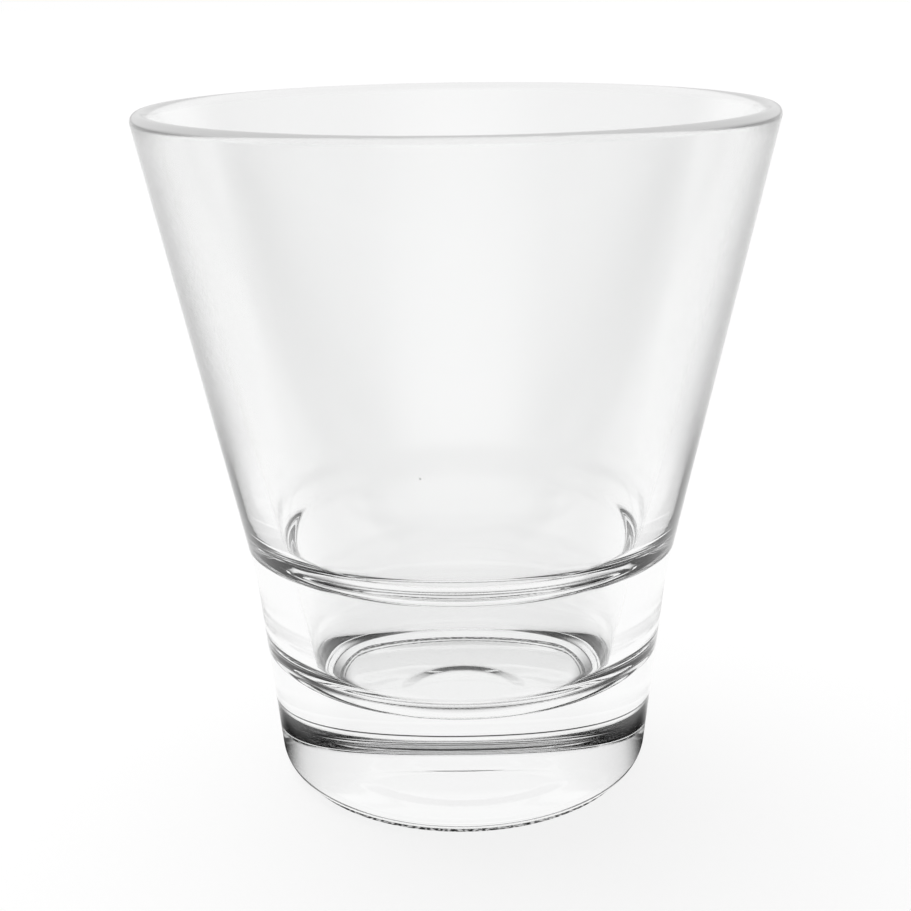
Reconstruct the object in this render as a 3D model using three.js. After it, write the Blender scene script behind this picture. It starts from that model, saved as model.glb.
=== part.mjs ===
import * as THREE from 'three';

// Rocks glass pressed in one piece: a flared bowl above a narrow well, joined by a rounded ledge,
// on a thick solid base. Millimetres. The glass stands on Z = 0 and its axis is +Z.

// Outside
const HEIGHT = 105.3; // foot to the top of the lip
const RIM_RADIUS = 47.5; // outside of the lip
const WAIST_RADIUS = 32.83; // where the flared wall meets the lower body
const WAIST_HEIGHT = 33.4;
const WAIST_BLEND = 82; // soft turn between the two walls
const FOOT_RADIUS = 29.44; // lower body carried down to the table
const HEEL_ROUND = 4.2; // round between the lower body and the foot

// Lip and bowl
const LIP_THICKNESS = 2.5;
const LIP_ROUND = 1.2; // nearly half the lip, so the drinking edge is round
const SHOULDER_HEIGHT = 41.2; // bowl wall carried down to the ledge
const SHOULDER_WALL = 4.95; // wall at that height, measured level
const SHOULDER_ROUND = 7.8;

// Ledge and well
const LEDGE_WIDTH = 2.75; // bowl wall to the mouth of the well
const LEDGE_FALL = 2.6; // how far the ledge drops over that width
const WELL_MOUTH_ROUND = 3.4;
const WELL_TAPER = 2.55; // radius lost from the mouth down to the height of the floor
const WELL_CORNER_ROUND = 7.4;
const FLOOR_RADIUS = 17.8; // dished part of the floor, inside the corner round
const FLOOR_DISH = 0.35; // rise of the floor from its middle to that radius
const BASE_THICKNESS = 16.8; // middle of the floor above the table

// Underside
const HOLLOW_RADIUS = 23.9; // inner edge of the ring the glass stands on
const HOLLOW_SLOPE = 0.8; // width of the ring's inner flank
const HOLLOW_DEPTH = 0.2;
const KICK_RADIUS = 11.0; // low dome pushed up in the middle of the hollow
const KICK_HEIGHT = 0.74;

// Fineness of the facets
const FACETS_AROUND = 72;
const ARC_STEP = THREE.MathUtils.degToRad(12);
const DOME_STEPS = 6;

/** A corner of the outline: its place before rounding, and the round it gets. */
function corner(radius, height, round = 0) {
  return { at: new THREE.Vector2(radius, height), round };
}

/** Level radius of the outer wall above the waist. */
function outerRadiusAt(z) {
  const rise = (z - WAIST_HEIGHT) / (HEIGHT - WAIST_HEIGHT);
  return THREE.MathUtils.lerp(WAIST_RADIUS, RIM_RADIUS, rise);
}

/** Radius of the sharp corner whose round has its widest point at the rim. */
function rimCornerRadius() {
  const lean = Math.atan2(RIM_RADIUS - WAIST_RADIUS, HEIGHT - WAIST_HEIGHT);
  return RIM_RADIUS + LIP_ROUND * (1 / Math.tan(Math.PI / 4 - lean / 2) - 1);
}

/** Points of an arc about a centre. */
function arcPoints(centre, radius, from, sweep, steps) {
  return Array.from({ length: steps + 1 }, (_, i) => {
    const angle = from + (sweep * i) / steps;
    const spoke = new THREE.Vector2(Math.cos(angle), Math.sin(angle));
    return centre.clone().addScaledVector(spoke, radius);
  });
}

/** Half the angle between the two walls that meet at a corner. */
function halfAngle(before, here, after) {
  const back = before.at.clone().sub(here.at);
  const ahead = after.at.clone().sub(here.at);
  return back.angleTo(ahead) / 2;
}

/** The arc that rounds a corner, starting and ending at a given reach along its walls. */
function roundedCorner(before, here, after, reach) {
  const half = halfAngle(before, here, after);
  const back = before.at.clone().sub(here.at).normalize();
  const ahead = after.at.clone().sub(here.at).normalize();
  const radius = reach * Math.tan(half);
  const inward = back.clone().add(ahead).normalize();
  const centre = here.at.clone().addScaledVector(inward, radius / Math.sin(half));
  const start = here.at.clone().addScaledVector(back, reach).sub(centre);
  const end = here.at.clone().addScaledVector(ahead, reach).sub(centre);
  const sweep = Math.atan2(start.cross(end), start.dot(end));
  const steps = Math.max(2, Math.ceil(Math.abs(sweep) / ARC_STEP));
  return arcPoints(centre, radius, start.angle(), sweep, steps);
}

/** An open outline with its corners rounded. Rounds that share a wall shrink together to fit it. */
function roundedOutline(corners) {
  const last = corners.length - 1;
  const wanted = corners.map((here, i) => {
    const rounded = i > 0 && i < last && here.round > 0;
    return rounded ? here.round / Math.tan(halfAngle(corners[i - 1], here, corners[i + 1])) : 0;
  });
  const room = corners.slice(1).map((here, i) => {
    const wall = here.at.distanceTo(corners[i].at);
    return Math.min(1, (0.98 * wall) / (wanted[i] + wanted[i + 1] + 1e-9));
  });
  return corners.flatMap((here, i) => {
    if (wanted[i] === 0) {
      return [here.at];
    }
    const reach = wanted[i] * Math.min(room[i - 1], room[i]);
    return roundedCorner(corners[i - 1], here, corners[i + 1], reach);
  });
}

/** Underside of the base: a low dome in a shallow hollow, inside the ring the glass stands on. */
function undersideOutline() {
  const sphere = (KICK_RADIUS ** 2 + KICK_HEIGHT ** 2) / (2 * KICK_HEIGHT);
  const spread = Math.asin(KICK_RADIUS / sphere);
  const centre = new THREE.Vector2(0, HOLLOW_DEPTH + KICK_HEIGHT - sphere);
  const kick = arcPoints(centre, sphere, Math.PI / 2, -spread, DOME_STEPS);
  kick[0].x = 0;
  return [...kick, new THREE.Vector2(HOLLOW_RADIUS - HOLLOW_SLOPE, HOLLOW_DEPTH)];
}

/** Floor of the well: a shallow dish from the foot of the corner round to the axis. */
function floorOutline() {
  const sphere = (FLOOR_RADIUS ** 2 + FLOOR_DISH ** 2) / (2 * FLOOR_DISH);
  const spread = Math.asin(FLOOR_RADIUS / sphere);
  const centre = new THREE.Vector2(0, BASE_THICKNESS + sphere);
  const dish = arcPoints(centre, sphere, spread - Math.PI / 2, -spread, DOME_STEPS);
  dish[dish.length - 1].x = 0;
  return dish;
}

/** Sharp corner of the well: its wall carried down to the line on which the dish leaves the floor. */
function wellCorner(mouth, rim) {
  const slope = (2 * FLOOR_DISH * FLOOR_RADIUS) / (FLOOR_RADIUS ** 2 - FLOOR_DISH ** 2);
  const taper = WELL_TAPER / (mouth.y - BASE_THICKNESS);
  const drop = mouth.y - rim.y + slope * rim.x;
  const radius = (mouth.x - taper * drop) / (1 - taper * slope);
  return corner(radius, rim.y + slope * (radius - rim.x), WELL_CORNER_ROUND);
}

/** The whole section, from the axis under the base, round the lip, to the axis on the well's floor. */
function tumblerOutline() {
  const shoulderRadius = outerRadiusAt(SHOULDER_HEIGHT) - SHOULDER_WALL;
  const mouth = corner(shoulderRadius - LEDGE_WIDTH, SHOULDER_HEIGHT - LEDGE_FALL, WELL_MOUTH_ROUND);
  const rim = rimCornerRadius();
  const floor = floorOutline();
  const shell = roundedOutline([
    corner(HOLLOW_RADIUS, 0),
    corner(FOOT_RADIUS, 0, HEEL_ROUND),
    corner(WAIST_RADIUS, WAIST_HEIGHT, WAIST_BLEND),
    corner(rim, HEIGHT, LIP_ROUND),
    corner(rim - LIP_THICKNESS, HEIGHT, LIP_ROUND),
    corner(shoulderRadius, SHOULDER_HEIGHT, SHOULDER_ROUND),
    mouth,
    wellCorner(mouth.at, floor[0]),
    corner(floor[0].x, floor[0].y),
  ]);
  return [...undersideOutline(), ...shell, ...floor.slice(1)];
}

/** The glass as one solid of revolution, turned so that its axis stands on Z. */
function tumbler() {
  const geometry = new THREE.LatheGeometry(tumblerOutline(), FACETS_AROUND);
  geometry.rotateX(Math.PI / 2);
  const material = new THREE.MeshStandardMaterial({
    color: 0xf2f6f5,
    roughness: 0.03,
    metalness: 0,
    transparent: true,
    opacity: 0.35,
  });
  const mesh = new THREE.Mesh(geometry, material);
  mesh.name = 'tumbler';
  return mesh;
}

const glass = new THREE.Group();
glass.name = 'rocks_glass';
glass.add(tumbler());

export default glass;
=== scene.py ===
"""Looks of a clear rocks glass: flared bowl, rounded ledge, narrow well, thick base, stippled foot ring."""

import logging
import math
from dataclasses import dataclass
from enum import Enum
from typing import Any, Optional, Union

import bmesh
import bpy
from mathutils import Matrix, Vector


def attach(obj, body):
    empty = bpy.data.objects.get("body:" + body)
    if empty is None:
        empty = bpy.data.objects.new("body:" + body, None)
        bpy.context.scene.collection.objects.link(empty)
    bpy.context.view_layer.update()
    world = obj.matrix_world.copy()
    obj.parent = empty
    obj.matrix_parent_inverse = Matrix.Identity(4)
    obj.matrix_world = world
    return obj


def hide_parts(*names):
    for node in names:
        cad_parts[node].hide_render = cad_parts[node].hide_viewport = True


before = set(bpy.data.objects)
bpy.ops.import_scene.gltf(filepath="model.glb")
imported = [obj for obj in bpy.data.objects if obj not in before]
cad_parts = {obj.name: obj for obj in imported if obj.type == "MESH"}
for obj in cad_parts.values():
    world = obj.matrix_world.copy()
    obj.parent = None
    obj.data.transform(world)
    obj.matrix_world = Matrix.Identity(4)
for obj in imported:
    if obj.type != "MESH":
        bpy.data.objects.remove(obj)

log = logging.getLogger("rocks_glass")

MM = 0.001
CUBIC_CM = 1e-6
PHOTO_SIDE = 911
SENSOR_WIDTH = 36.0
Number = Union[int, float]
Point = tuple[float, float]


class Ray(Enum):
    """Kinds of ray that the studio tells apart."""

    CAMERA = "Is Camera Ray"
    GLOSSY = "Is Glossy Ray"
    TRANSMISSION = "Is Transmission Ray"


class Value:
    """A number in a node tree. Python's operators on it add Math nodes."""

    def __init__(self, nodes: "Nodes", socket: bpy.types.NodeSocket) -> None:
        """Wraps a socket.

        Args:
            nodes: The tree that the socket is in.
            socket: The output socket.
        """
        self.nodes = nodes
        self.socket = socket

    def _math(self, operation: str, *terms: Union["Value", Number]) -> "Value":
        """Adds one Math node.

        Args:
            operation: The node's operation.
            terms: Its inputs in order.

        Returns:
            The node's result.
        """
        return self.nodes.add("ShaderNodeMath", {"operation": operation}, dict(enumerate(terms)))

    def __add__(self, other: Union["Value", Number]) -> "Value":
        """Sum."""
        return self._math("ADD", self, other)

    __radd__ = __add__

    def __sub__(self, other: Union["Value", Number]) -> "Value":
        """Difference."""
        return self._math("SUBTRACT", self, other)

    def __rsub__(self, other: Union["Value", Number]) -> "Value":
        """Difference, the other way round."""
        return self._math("SUBTRACT", other, self)

    def __mul__(self, other: Union["Value", Number]) -> "Value":
        """Product."""
        return self._math("MULTIPLY", self, other)

    __rmul__ = __mul__

    def __truediv__(self, other: Union["Value", Number]) -> "Value":
        """Quotient."""
        return self._math("DIVIDE", self, other)

    def __mod__(self, other: Union["Value", Number]) -> "Value":
        """Remainder of whole numbers."""
        return self._math("MODULO", self, other)

    def __lt__(self, other: Union["Value", Number]) -> "Value":
        """1 where less, else 0."""
        return self._math("LESS_THAN", self, other)

    def __gt__(self, other: Union["Value", Number]) -> "Value":
        """1 where greater, else 0."""
        return self._math("GREATER_THAN", self, other)

    def floor(self) -> "Value":
        """Whole part."""
        return self._math("FLOOR", self)

    def sin(self) -> "Value":
        """Sine of an angle in radians."""
        return self._math("SINE", self)

    def cos(self) -> "Value":
        """Cosine of an angle in radians."""
        return self._math("COSINE", self)

    def highest(self, other: Union["Value", Number]) -> "Value":
        """The greater of two numbers."""
        return self._math("MAXIMUM", self, other)

    def rise(self, low: float, high: float, level: float = 1.0) -> "Value":
        """A smooth step.

        Args:
            low: Where it leaves 0.
            high: Where it reaches its level.
            level: The level.

        Returns:
            The stepped number.
        """
        settings = {"interpolation_type": "SMOOTHSTEP"}
        span = {"Value": self, "From Min": low, "From Max": high, "To Max": level}
        return self.nodes.add("ShaderNodeMapRange", settings, span)


class Nodes:
    """A node tree under construction."""

    def __init__(self, tree: bpy.types.NodeTree) -> None:
        """Starts from an empty tree.

        Args:
            tree: The tree to fill.
        """
        self.tree = tree
        tree.nodes.clear()

    def make(
        self, kind: str, settings: Optional[dict[str, Any]] = None, inputs: Optional[dict[Any, Any]] = None
    ) -> bpy.types.Node:
        """Adds any node.

        Args:
            kind: The node's type.
            settings: Its properties, set first.
            inputs: Values or links of its sockets, by name or place.

        Returns:
            The new node.
        """
        node = self.tree.nodes.new(kind)
        for name, setting in (settings or {}).items():
            setattr(node, name, setting)
        for key, given in (inputs or {}).items():
            socket = node.inputs[key]
            if isinstance(given, Value):
                self.tree.links.new(given.socket, socket)
            elif isinstance(given, bpy.types.NodeSocket):
                self.tree.links.new(given, socket)
            else:
                socket.default_value = given
        return node

    def add(
        self,
        kind: str,
        settings: Optional[dict[str, Any]] = None,
        inputs: Optional[dict[Any, Any]] = None,
        output: Union[int, str] = 0,
    ) -> Value:
        """Adds a node and gives one of its outputs.

        Args:
            kind: The node's type.
            settings: Its properties, set first.
            inputs: Values or links of its sockets, by name or place.
            output: The output wanted, by name or place.

        Returns:
            That output, ready for arithmetic.
        """
        return Value(self, self.make(kind, settings, inputs).outputs[output])


class GeometryTree(Nodes):
    """A Geometry Nodes tree with named inputs that ends in one plain, dressed mesh."""

    def __init__(self, name: str) -> None:
        """Starts a tree with a geometry input and output.

        Args:
            name: The tree's name.
        """
        super().__init__(bpy.data.node_groups.new(name, "GeometryNodeTree"))
        self.tree.interface.new_socket("Geometry", in_out="INPUT", socket_type="NodeSocketGeometry")
        self.tree.interface.new_socket("Geometry", in_out="OUTPUT", socket_type="NodeSocketGeometry")
        self.sizes: dict[str, Number] = {}
        self.entry = self.make("NodeGroupInput")

    def size(self, name: str, amount: Number) -> Value:
        """Adds a named input.

        Args:
            name: The input's name.
            amount: What it is set to.

        Returns:
            The input.
        """
        kind = "NodeSocketInt" if isinstance(amount, int) else "NodeSocketFloat"
        self.tree.interface.new_socket(name, in_out="INPUT", socket_type=kind)
        self.sizes[name] = amount
        return Value(self, self.entry.outputs[name])

    def end(self, geometry: Value, material: bpy.types.Material) -> None:
        """Closes the tree: real geometry, smooth shading, one material.

        Args:
            geometry: What the tree made.
            material: The finish.
        """
        real = self.add("GeometryNodeRealizeInstances", None, {"Geometry": geometry})
        smooth = self.add("GeometryNodeSetShadeSmooth", None, {"Geometry": real})
        dressed = self.add("GeometryNodeSetMaterial", None, {"Geometry": smooth, "Material": material})
        self.make("NodeGroupOutput", None, {"Geometry": dressed})

    def grow(self, name: str, seed_mesh: bpy.types.Mesh, material: bpy.types.Material) -> bpy.types.Object:
        """Runs the tree on a mesh and keeps the result as a plain mesh.

        Args:
            name: The new piece's name.
            seed_mesh: The mesh that the tree starts from.
            material: The piece's finish.

        Returns:
            The piece, with no modifier left.
        """
        holder = bpy.data.objects.new(name + "_seed", seed_mesh)
        bpy.context.scene.collection.objects.link(holder)
        modifier = holder.modifiers.new(name, "NODES")
        modifier.node_group = self.tree
        for item in self.tree.interface.items_tree:
            if item.in_out == "INPUT" and item.name in self.sizes:
                modifier[item.identifier] = self.sizes[item.name]
        bpy.context.view_layer.update()
        graph = bpy.context.evaluated_depsgraph_get()
        mesh = bpy.data.meshes.new_from_object(holder.evaluated_get(graph))
        bpy.data.objects.remove(holder)
        mesh.name = name
        mesh.materials.clear()
        mesh.materials.append(material)
        piece = bpy.data.objects.new(name, mesh)
        bpy.context.scene.collection.objects.link(piece)
        return piece


@dataclass(frozen=True)
class ClearGlass:
    """Finish of pressed clear glass: faint mould waves, haze on the worn bowl, a painted glow on the lip,
    stray specks.
    """

    name: str = "clear_glass"
    colour: tuple[float, float, float, float] = (0.985, 0.987, 0.986, 1.0)
    speck_colour: tuple[float, float, float, float] = (0.35, 0.35, 0.34, 1.0)
    refraction: float = 1.51
    wave_size: float = 9.0 * MM
    wave_squash: tuple[float, float, float] = (1.0, 1.0, 1.7)
    wave_detail: float = 2.0
    wave_depth: float = 0.003 * MM
    haze_size: float = 26.0 * MM
    haze_detail: float = 3.0
    haze_rise: Point = (0.52, 0.78)
    haze: float = 0.012
    wear_span: Point = (46.0 * MM, 62.0 * MM)
    wear: float = 0.10
    # Painted highlight on the outside of the lip: the height span where it glows, its share and its grey.
    lip_span: Point = (103.9 * MM, 104.7 * MM)
    painted_lip_glow_share: float = 0.66
    painted_lip_glow_colour: tuple[float, float, float, float] = (0.86, 0.86, 0.86, 1.0)
    speck_spacing: float = 5.5 * MM
    speck_size: float = 0.16 * MM
    speck_share: float = 0.10

    def material(self) -> bpy.types.Material:
        """Builds the finish.

        Returns:
            The material.
        """
        material = bpy.data.materials.new(self.name)
        material.use_nodes = True
        nodes = Nodes(material.node_tree)
        place = nodes.add("ShaderNodeTexCoord", None, None, "Object")
        squashed = nodes.add("ShaderNodeMapping", None, {"Vector": place, "Scale": self.wave_squash})
        wave = nodes.add(
            "ShaderNodeTexNoise",
            None,
            {"Vector": squashed, "Scale": 1.0 / self.wave_size, "Detail": self.wave_detail},
        )
        cloud = nodes.add(
            "ShaderNodeTexNoise",
            None,
            {"Vector": place, "Scale": 1.0 / self.haze_size, "Detail": self.haze_detail},
        )
        axes = nodes.make("ShaderNodeSeparateXYZ", None, {0: place})
        height = Value(nodes, axes.outputs["Z"])
        wear = height.rise(*self.wear_span, self.wear)
        haze = cloud.rise(*self.haze_rise, self.haze) + wear
        speck = self.specks(nodes, place)
        colour = nodes.add(
            "ShaderNodeMix",
            {"data_type": "RGBA"},
            {"Factor": speck, 6: self.colour, 7: self.speck_colour},
            2,
        )
        bump = nodes.add(
            "ShaderNodeBump", None, {"Height": wave, "Distance": self.wave_depth, "Strength": 1.0}
        )
        surface = nodes.add(
            "ShaderNodeBsdfPrincipled",
            None,
            {
                "Base Color": colour,
                "Roughness": haze,
                "Transmission Weight": 1.0,
                "IOR": self.refraction,
                "Normal": bump,
            },
        )
        # Painted highlight: a grey emission mixed into the outside of the lip, so the lip glows.
        painted_lip_glow = nodes.add("ShaderNodeEmission", None, {"Color": self.painted_lip_glow_colour, "Strength": 1.0})
        inside = nodes.add("ShaderNodeNewGeometry", None, None, "Backfacing")
        lip_glow_mask = height.rise(*self.lip_span, self.painted_lip_glow_share) * (1.0 - inside)
        whole = nodes.add("ShaderNodeMixShader", None, {0: lip_glow_mask, 1: surface, 2: painted_lip_glow})
        nodes.make("ShaderNodeOutputMaterial", None, {"Surface": whole})
        return material

    def specks(self, nodes: Nodes, place: Value) -> Value:
        """Stray specks, a few in a hundred cells.

        Args:
            nodes: The material's tree.
            place: Object coordinates.

        Returns:
            1 on a speck, 0 elsewhere.
        """
        cells = nodes.make(
            "ShaderNodeTexVoronoi",
            None,
            {"Vector": place, "Scale": 1.0 / self.speck_spacing, "Randomness": 1.0},
        )
        distance = Value(nodes, cells.outputs["Distance"])
        chance = nodes.add("ShaderNodeSeparateColor", None, {0: cells.outputs["Color"]})
        near = distance < self.speck_size / self.speck_spacing
        return near * (chance < self.speck_share)


@dataclass
class Corner:
    """A corner of the outline before rounding, in millimetres."""

    radius: float
    height: float
    round: float = 0.0

    @property
    def at(self) -> Vector:
        """The corner's place in the section."""
        return Vector((self.radius, self.height))


@dataclass
class Tumbler:
    """The whole glass, one piece of revolution. Sizes in millimetres."""

    material: bpy.types.Material
    node: str = "tumbler"
    height: float = 105.3
    rim_radius: float = 47.49
    waist_radius: float = 32.83
    waist_height: float = 33.4
    waist_blend: float = 82.0
    foot_radius: float = 29.44
    heel_round: float = 4.2
    lip_thickness: float = 2.5
    lip_round: float = 1.2
    shoulder_height: float = 41.2
    shoulder_wall: float = 4.95
    shoulder_round: float = 7.8
    ledge_width: float = 2.75
    ledge_fall: float = 2.6
    well_mouth_round: float = 3.4
    well_taper: float = 2.55
    well_corner_round: float = 7.4
    floor_radius: float = 17.8
    floor_dish: float = 0.35
    base_thickness: float = 16.8
    hollow_radius: float = 23.9
    hollow_slope: float = 0.8
    hollow_depth: float = 0.05
    kick_radius: float = 11.2
    kick_slope: float = 2.6
    kick_height: float = 0.3
    kick_round: float = 10.0
    foot_lift: float = 0.03
    segments: int = 320
    arc_step: float = math.radians(3.5)
    arc_fewest: int = 3
    dish_steps: int = 24
    wall_step: float = 2.5
    wall_use: float = 0.98
    sew_distance: float = 0.002

    def outer_radius(self, height: float) -> float:
        """Level radius of the flared outer wall.

        Args:
            height: Height above the table.

        Returns:
            The radius there.
        """
        rise = (height - self.waist_height) / (self.height - self.waist_height)
        return self.waist_radius + (self.rim_radius - self.waist_radius) * rise

    def corners(self) -> list[Corner]:
        """Corners of the section before rounding.

        Returns:
            Them in order from the foot ring, round the lip, to the edge of the well's floor.
        """
        lean = math.atan2(self.rim_radius - self.waist_radius, self.height - self.waist_height)
        rim = self.rim_radius + self.lip_round * (1.0 / math.tan(math.pi / 4.0 - lean / 2.0) - 1.0)
        shoulder = self.outer_radius(self.shoulder_height) - self.shoulder_wall
        mouth_height = self.shoulder_height - self.ledge_fall
        mouth = Corner(shoulder - self.ledge_width, mouth_height, self.well_mouth_round)
        return [
            Corner(self.hollow_radius, self.foot_lift),
            Corner(self.foot_radius, self.foot_lift, self.heel_round),
            Corner(self.waist_radius, self.waist_height, self.waist_blend),
            Corner(rim, self.height, self.lip_round),
            Corner(rim - self.lip_thickness, self.height, self.lip_round),
            Corner(shoulder, self.shoulder_height, self.shoulder_round),
            mouth,
            self.well_corner(mouth),
            Corner(self.floor_radius, self.base_thickness + self.floor_dish),
        ]

    def well_corner(self, mouth: Corner) -> Corner:
        """Sharp corner of the well: its wall carried down to the line on which the dish leaves the floor.

        Args:
            mouth: The corner at the well's mouth.

        Returns:
            The corner.
        """
        edge, dish = self.floor_radius, self.floor_dish
        slope = 2.0 * dish * edge / (edge**2 - dish**2)
        taper = self.well_taper / (mouth.height - self.base_thickness)
        foot = self.base_thickness + dish
        radius = (mouth.radius - taper * (mouth.height - foot + slope * edge)) / (1.0 - taper * slope)
        return Corner(radius, foot + slope * (radius - edge), self.well_corner_round)

    def rounded(self, corners: list[Corner]) -> list[Vector]:
        """Rounds an outline's corners; rounds that share a wall shrink together to fit it.

        Args:
            corners: The corners in order.

        Returns:
            The outline's points.
        """
        wanted = [0.0] * len(corners)
        halves = [0.0] * len(corners)
        for i in range(1, len(corners) - 1):
            back, ahead = corners[i - 1].at - corners[i].at, corners[i + 1].at - corners[i].at
            halves[i] = back.angle(ahead) / 2.0
            wanted[i] = corners[i].round / math.tan(halves[i])
        walls = [(b.at - a.at).length for a, b in zip(corners, corners[1:])]
        room = [
            min(1.0, self.wall_use * wall / max(a + b, wall * self.wall_use))
            for wall, a, b in zip(walls, wanted, wanted[1:])
        ]
        points = [corners[0].at]
        for i in range(1, len(corners) - 1):
            reach = wanted[i] * min(room[i - 1], room[i])
            points += self.arc(corners[i - 1].at, corners[i].at, corners[i + 1].at, reach, halves[i])
        return points + [corners[-1].at]

    def arc(self, before: Vector, here: Vector, after: Vector, reach: float, half: float) -> list[Vector]:
        """The arc that rounds one corner.

        Args:
            before: The corner before it.
            here: The corner.
            after: The corner after it.
            reach: How far along its walls the arc starts.
            half: Half the angle between its walls.

        Returns:
            Points along the arc.
        """
        back, ahead = (before - here).normalized(), (after - here).normalized()
        radius = reach * math.tan(half)
        centre = here + (back + ahead).normalized() * (radius / math.sin(half))
        start, end = here + back * reach - centre, here + ahead * reach - centre
        sweep = math.atan2(start.x * end.y - start.y * end.x, start.dot(end))
        steps = max(self.arc_fewest, math.ceil(abs(sweep) / self.arc_step))
        first = math.atan2(start.y, start.x)
        turns = (first + sweep * i / steps for i in range(steps + 1))
        return [centre + radius * Vector((math.cos(turn), math.sin(turn))) for turn in turns]

    def floor_points(self) -> list[Vector]:
        """The well's dished floor.

        Returns:
            Its points from the axis outwards.
        """
        edge, dish = self.floor_radius, self.floor_dish
        sphere = (edge**2 + dish**2) / (2.0 * dish)
        step = math.asin(edge / sphere) / self.dish_steps
        turns = [i * step for i in range(self.dish_steps + 1)]
        lowest = self.base_thickness
        return [Vector((sphere * math.sin(a), lowest + sphere * (1.0 - math.cos(a)))) for a in turns]

    def outline(self) -> list[Vector]:
        """The whole section.

        Returns:
            Its points from the axis under the base, round the lip, to the axis on the well's floor.
        """
        hollow = self.hollow_depth + self.foot_lift
        kick = hollow + self.kick_height
        under = [
            Corner(0.0, kick),
            Corner(self.kick_radius - self.kick_slope, kick, self.kick_round),
            Corner(self.kick_radius, hollow, self.kick_round),
            Corner(self.hollow_radius - self.hollow_slope, hollow),
        ]
        coarse = self.rounded(under) + self.rounded(self.corners()) + self.floor_points()[-2::-1]
        fine = [coarse[0]]
        for a, b in zip(coarse, coarse[1:]):
            steps = max(1, math.ceil((b - a).length / self.wall_step))
            fine += [a.lerp(b, i / steps) for i in range(1, steps + 1)]
        return fine

    def build(self) -> bpy.types.Object:
        """Turns the section round the axis.

        Returns:
            The glass as one closed, dressed mesh.
        """
        points = self.outline()
        section = bpy.data.meshes.new("tumbler_section")
        edges = [(i, i + 1) for i in range(len(points) - 1)]
        section.from_pydata([(max(p.x, 0.0) * MM, 0.0, max(p.y, 0.0) * MM) for p in points], edges, [])
        piece = self.revolve(len(points)).grow("tumbler_glass", section, self.material)
        close(piece)
        return piece

    def revolve(self, count: int) -> GeometryTree:
        """A tree that turns its input, a line of points in the XZ plane, round the Z axis.

        Args:
            count: How many points the line has.

        Returns:
            The tree.
        """
        tree = GeometryTree("revolve_section")
        around = tree.size("Segments", self.segments)
        along = tree.size("Points", count)
        grid = tree.make("GeometryNodeMeshGrid", None, {"Vertices X": around + 1, "Vertices Y": along})
        index = tree.add("GeometryNodeInputIndex")
        step = index % along
        spoke = ((index - step) / along).floor() * (2.0 * math.pi / self.segments)
        position = tree.add("GeometryNodeInputPosition")
        sample = tree.add(
            "GeometryNodeSampleIndex",
            {"data_type": "FLOAT_VECTOR"},
            {"Geometry": tree.entry.outputs["Geometry"], "Value": position, "Index": step},
        )
        split = tree.make("ShaderNodeSeparateXYZ", None, {"Vector": sample})
        radius, height = Value(tree, split.outputs["X"]), Value(tree, split.outputs["Z"])
        turned = {"X": radius * spoke.cos(), "Y": radius * spoke.sin(), "Z": height}
        place = tree.add("ShaderNodeCombineXYZ", None, turned)
        flat = grid.outputs["Mesh"]
        bent = tree.add("GeometryNodeSetPosition", None, {"Geometry": flat, "Position": place})
        seam = self.sew_distance * MM
        sewn = tree.add("GeometryNodeMergeByDistance", None, {"Geometry": bent, "Distance": seam})
        tree.end(sewn, self.material)
        return tree


@dataclass
class FootStipple:
    """Rows of tiny beads on the foot ring, pressed by the mould. Sizes in millimetres."""

    material: bpy.types.Material
    inner_radius: float = 24.2
    outer_radius: float = 25.5
    bead_radius: float = 0.03
    bead_fineness: int = 1
    rows: int = 5
    around: int = 300
    stagger: float = 0.5
    jitter: float = 0.12
    seed: int = 7

    def build(self) -> bpy.types.Object:
        """Sets the beads out on the ring.

        Returns:
            All beads as one mesh.
        """
        tree = GeometryTree("foot_stipple")
        rows, around = tree.size("Rows", self.rows), tree.size("Around", self.around)
        inner = tree.size("Inner radius", self.inner_radius * MM)
        step = tree.size("Row step", (self.outer_radius - self.inner_radius) / (self.rows - 1) * MM)
        bead = tree.size("Bead radius", self.bead_radius * MM)
        jitter = tree.size("Jitter", self.jitter * MM)
        index = tree.add("GeometryNodeInputIndex")
        row = index % rows
        turn = ((index - row) / rows + row * self.stagger) * (2.0 * math.pi / self.around)
        radius = inner + row * step
        stray = [
            tree.add(
                "FunctionNodeRandomValue",
                {"data_type": "FLOAT"},
                {2: jitter * -1.0, 3: jitter, "ID": index, "Seed": self.seed + i},
                1,
            )
            for i in range(2)
        ]
        place = tree.add(
            "ShaderNodeCombineXYZ",
            None,
            {"X": radius * turn.cos() + stray[0], "Y": radius * turn.sin() + stray[1], "Z": bead},
        )
        points = tree.add("GeometryNodePoints", None, {"Count": rows * around, "Position": place})
        ball = tree.add(
            "GeometryNodeMeshIcoSphere", None, {"Radius": bead, "Subdivisions": self.bead_fineness}
        )
        beads = tree.add("GeometryNodeInstanceOnPoints", None, {"Points": points, "Instance": ball})
        tree.end(beads, self.material)
        return tree.grow("foot_stipple", bpy.data.meshes.new("foot_stipple_start"), self.material)


def close(piece: bpy.types.Object, shortest: float = 0.0001 * MM) -> None:
    """Points a closed mesh's faces outwards and drops faces with no area.

    Args:
        piece: The piece.
        shortest: Edges below this length are dropped.
    """
    mesh = bmesh.new()
    mesh.from_mesh(piece.data)
    bmesh.ops.dissolve_degenerate(mesh, edges=mesh.edges, dist=shortest)
    bmesh.ops.recalc_face_normals(mesh, faces=mesh.faces)
    open_edges = sum(1 for edge in mesh.edges if not edge.is_manifold)
    mesh.to_mesh(piece.data)
    volume = mesh.calc_volume(signed=True)
    mesh.free()
    log.info("%s: %d open edges, %.1f cm3", piece.name, open_edges, volume / CUBIC_CM)


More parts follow.
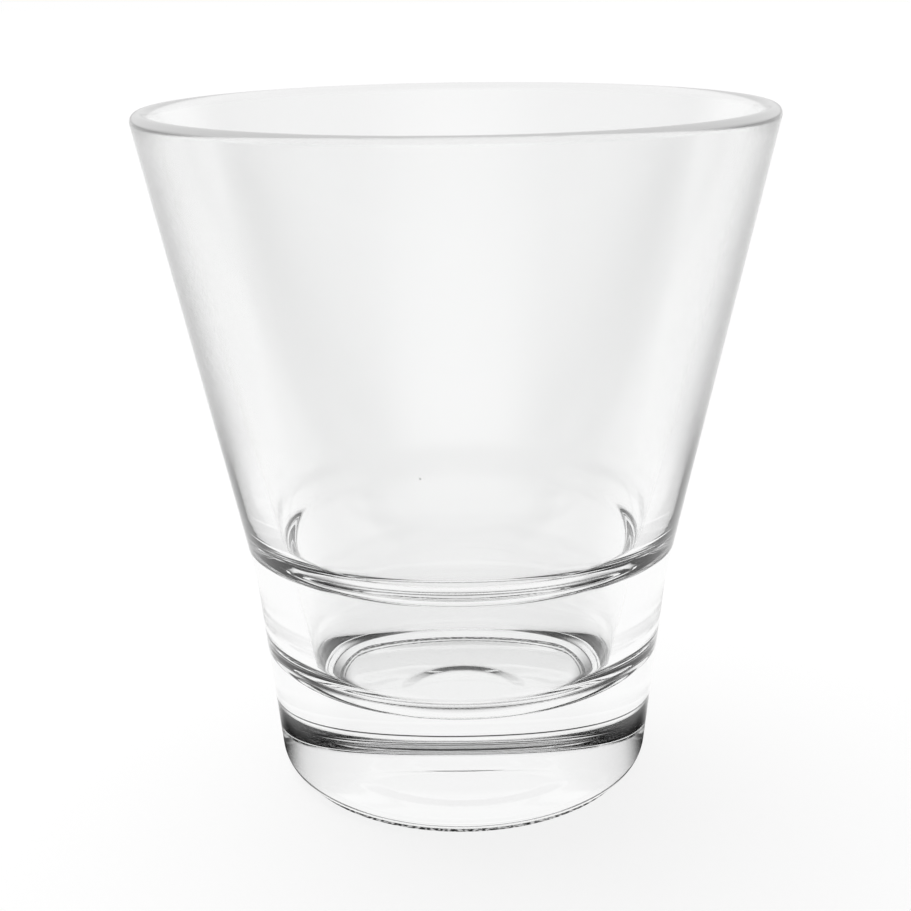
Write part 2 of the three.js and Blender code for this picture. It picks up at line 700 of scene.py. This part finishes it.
@dataclass
class Studio:
    """Pale floor with a soft shadow, painted shade and a painted contact shadow where the glass shows it,
    surroundings that are white in front and behind, and the camera.
    """

    bounces: int = 10
    floor_radius: float = 6.0
    floor_sides: int = 96
    floor_colour: tuple[float, float, float] = (0.92, 0.92, 0.92)
    # Painted shade on the floor, seen only through the glass: its levels and spans in front of and beside
    # the glass.
    floor_dim: float = 0.01
    near_span: Point = (16.0 * MM, 42.0 * MM)
    near_dim: float = 0.85
    far_span: Point = (75.0 * MM, 130.0 * MM)
    far_dim: float = 0.18
    side_spans: tuple[float, float, float, float] = (20.0 * MM, 28.0 * MM, 38.0 * MM, 46.0 * MM)
    side_back: Point = (0.0, 20.0 * MM)
    side_front: Point = (30.0 * MM, 60.0 * MM)
    side_dim: float = 0.97
    floor_glow: float = 0.86
    floor_drop: float = 0.02 * MM
    # Painted contact shadow under the foot ring: radii of its dark lines, their blur, depth and grain.
    contact_shadow_lines: tuple[Point, ...] = ((24.7 * MM, 25.3 * MM), (25.9 * MM, 27.5 * MM))
    contact_shadow_blur: float = 0.12 * MM
    contact_shadow_depth: float = 0.97
    grain_scale: float = 1500.0
    grain_rise: Point = (0.36, 0.56)
    grain_share: float = 0.6
    sun_strength: float = 2.6
    sun_width: float = math.radians(50.0)
    sun_tilt: tuple[float, float, float] = (math.radians(-14.0), math.radians(-10.0), 0.0)
    focal_pixels: float = 1577.0
    camera_place: tuple[float, float, float] = (0.0, -238.035 * MM, 124.342 * MM)
    pitch: float = 0.2992
    yaw: float = -0.003
    roll: float = -0.0138
    clip_span: Point = (0.01, 50.0)
    back_tilt: float = 0.5
    back_rise: Point = (0.38, 0.80)
    top_rise: Point = (0.92, 0.98)
    top_level: float = 0.05
    horizon_rise: Point = (0.02, 0.08)
    front_fall: float = 0.6
    front_rise: Point = (0.50, 0.95)

    def build(self) -> None:
        """Sets up the camera, the surroundings, the floor and the lamp."""
        scene = bpy.context.scene
        scene.view_settings.view_transform = "Standard"
        for kind in ("max_bounces", "transmission_bounces", "glossy_bounces"):
            setattr(scene.cycles, kind, self.bounces)
        scene.camera = self.camera()
        scene.world = self.surroundings()
        self.floor()
        self.sun()

    def sun(self) -> bpy.types.Object:
        """A broad soft light from above that lights the floor; the glass doesn't mirror it.

        Returns:
            The lamp.
        """
        data = bpy.data.lights.new("sun", "SUN")
        data.energy = self.sun_strength
        data.angle = self.sun_width
        lamp = bpy.data.objects.new("sun", data)
        lamp.rotation_euler = self.sun_tilt
        lamp.visible_glossy = False
        lamp.visible_transmission = False
        bpy.context.scene.collection.objects.link(lamp)
        return lamp

    def camera(self) -> bpy.types.Object:
        """The photograph's camera.

        Returns:
            The camera object.
        """
        data = bpy.data.cameras.new("camera")
        data.sensor_width = SENSOR_WIDTH
        data.sensor_fit = "HORIZONTAL"
        data.lens = SENSOR_WIDTH * self.focal_pixels / PHOTO_SIDE
        data.clip_start, data.clip_end = self.clip_span
        camera = bpy.data.objects.new("camera", data)
        ahead = Vector(
            (
                math.sin(self.yaw) * math.cos(self.pitch),
                math.cos(self.yaw) * math.cos(self.pitch),
                -math.sin(self.pitch),
            )
        )
        level = Vector((math.cos(self.yaw), -math.sin(self.yaw), 0.0))
        up = level.cross(ahead)
        right = level * math.cos(self.roll) + up * math.sin(self.roll)
        top = up * math.cos(self.roll) - level * math.sin(self.roll)
        turned = camera.matrix_world.copy()
        for i in range(3):
            turned[i][0], turned[i][1], turned[i][2] = right[i], top[i], -ahead[i]
            turned[i][3] = self.camera_place[i]
        camera.matrix_world = turned
        bpy.context.scene.collection.objects.link(camera)
        return camera

    def surroundings(self) -> bpy.types.World:
        """White behind the glass and low in front of it, dark beside it. Seen directly it is all white.

        Returns:
            The world.
        """
        world = bpy.data.worlds.new("studio")
        world.use_nodes = True
        nodes = Nodes(world.node_tree)
        direction = nodes.add("ShaderNodeTexCoord", None, None, "Generated")
        way = nodes.make("ShaderNodeSeparateXYZ", None, {0: direction})
        depth, height = Value(nodes, way.outputs["Y"]), Value(nodes, way.outputs["Z"])
        horizon = height.rise(*self.horizon_rise)
        back = (depth + height * self.back_tilt).rise(*self.back_rise) * horizon
        top = height.rise(*self.top_rise, self.top_level)
        front = (depth * -1.0 - height * self.front_fall).rise(*self.front_rise)
        rays = nodes.make("ShaderNodeLightPath")
        seen = Value(nodes, rays.outputs[Ray.CAMERA.value])
        glow = back.highest(top).highest(front).highest(seen)
        tone = self.colour(nodes, [glow] * 3)
        background = nodes.add("ShaderNodeBackground", None, {"Color": tone, "Strength": 1.0})
        nodes.make("ShaderNodeOutputWorld", None, {"Surface": background})
        return world

    def floor(self) -> bpy.types.Object:
        """A round pale floor that keeps a soft shadow.

        Returns:
            The floor.
        """
        mesh = bpy.data.meshes.new("floor")
        sides = self.floor_sides
        spokes = [2.0 * math.pi * i / sides for i in range(sides)]
        drop = -self.floor_drop
        rim = [(self.floor_radius * math.cos(a), self.floor_radius * math.sin(a), drop) for a in spokes]
        mesh.from_pydata(rim, [], [tuple(range(sides))])
        mesh.materials.append(self.floor_material())
        floor = bpy.data.objects.new("floor", mesh)
        bpy.context.scene.collection.objects.link(floor)
        return floor

    def floor_material(self) -> bpy.types.Material:
        """Pale matt floor: white to the camera, with painted shade round the glass where the glass shows it
        and a painted contact shadow under the foot ring.

        Returns:
            The material.
        """
        material = bpy.data.materials.new("floor")
        material.use_nodes = True
        nodes = Nodes(material.node_tree)
        rays = nodes.make("ShaderNodeLightPath")
        direct = Value(nodes, rays.outputs[Ray.CAMERA.value])
        bounced = Value(nodes, rays.outputs[Ray.GLOSSY.value])
        through = bounced.highest(Value(nodes, rays.outputs[Ray.TRANSMISSION.value]))
        place = nodes.add("ShaderNodeTexCoord", None, None, "Object")
        # The painted contact shadow darkens both the matt colour and the glow.
        unshadowed = 1.0 - self.painted_contact_shadow(nodes, place)
        # The floor's glow as the glass shows it, darkened by painted shade and by the painted contact
        # shadow.
        tone = (1.0 - through * self.painted_floor_shade(nodes, place)) * unshadowed
        paint = [unshadowed * channel for channel in self.floor_colour]
        matt = nodes.add("ShaderNodeBsdfDiffuse", None, {"Color": self.colour(nodes, paint)})
        shine = self.colour(nodes, [tone] * 3)
        glow = nodes.add("ShaderNodeEmission", None, {"Color": shine, "Strength": 1.0})
        share = direct * self.floor_glow + through
        mixed = nodes.add("ShaderNodeMixShader", None, {0: share, 1: matt, 2: glow})
        nodes.make("ShaderNodeOutputMaterial", None, {"Surface": mixed})
        return material

    def colour(self, nodes: Nodes, channels: list[Value]) -> Value:
        """Puts a colour together.

        Args:
            nodes: The tree.
            channels: Red, green and blue.

        Returns:
            The colour.
        """
        return nodes.add("ShaderNodeCombineColor", None, dict(enumerate(channels)))

    def painted_floor_shade(self, nodes: Nodes, place: Value) -> Value:
        """Painted shade: how much the floor is darkened in front of the glass and close beside it, seen
        only through the glass.

        Args:
            nodes: The floor material's tree.
            place: Object coordinates.

        Returns:
            The share of brightness taken off by the painted shade.
        """
        split = nodes.make("ShaderNodeSeparateXYZ", None, {0: place})
        front = Value(nodes, split.outputs["Y"]) * -1.0
        near = front.rise(*self.near_span, self.near_dim - self.floor_dim)
        far = front.rise(*self.far_span, self.near_dim - self.far_dim)
        across = Value(nodes, split.outputs["X"])
        offset = across * across
        start, full, less, end = (edge * edge for edge in self.side_spans)
        beside = offset.rise(start, full, self.side_dim) - offset.rise(less, end, self.side_dim)
        patch = 1.0 - front.rise(*self.side_front) - (front * -1.0).rise(*self.side_back)
        return (near - far + self.floor_dim).highest(beside * patch)

    def painted_contact_shadow(self, nodes: Nodes, place: Value) -> Value:
        """Painted contact shadow: grainy dark lines on the floor round where the foot ring stands.

        Args:
            nodes: The floor material's tree.
            place: Object coordinates.

        Returns:
            Their depth on the lines, 0 elsewhere.
        """
        reach = nodes.add("ShaderNodeVectorMath", {"operation": "LENGTH"}, {0: place}, "Value")
        blur, depth = self.contact_shadow_blur, self.contact_shadow_depth
        lines = [
            reach.rise(inner, inner + blur, depth) - reach.rise(outer - blur, outer, depth)
            for inner, outer in self.contact_shadow_lines
        ]
        cloud = nodes.add("ShaderNodeTexNoise", None, {"Vector": place, "Scale": self.grain_scale}, "Fac")
        grain = cloud.rise(*self.grain_rise, self.grain_share) + (1.0 - self.grain_share)
        return sum(lines[1:], lines[0]) * grain


def main() -> None:
    """Builds the glass and the studio and notes the sizes."""
    logging.basicConfig(level=logging.INFO, format="%(message)s")
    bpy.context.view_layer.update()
    clear = ClearGlass().material()
    tumbler = Tumbler(clear)
    glass = tumbler.build()
    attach(glass, "root")
    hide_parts(tumbler.node)
    log.info("made %s with %d faces", glass.name, len(glass.data.polygons))
    stipple = FootStipple(clear).build()
    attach(stipple, "root")
    log.info("made %s with %d faces", stipple.name, len(stipple.data.polygons))
    Studio().build()
    bpy.context.view_layer.update()


if __name__ == "__main__":
    main()
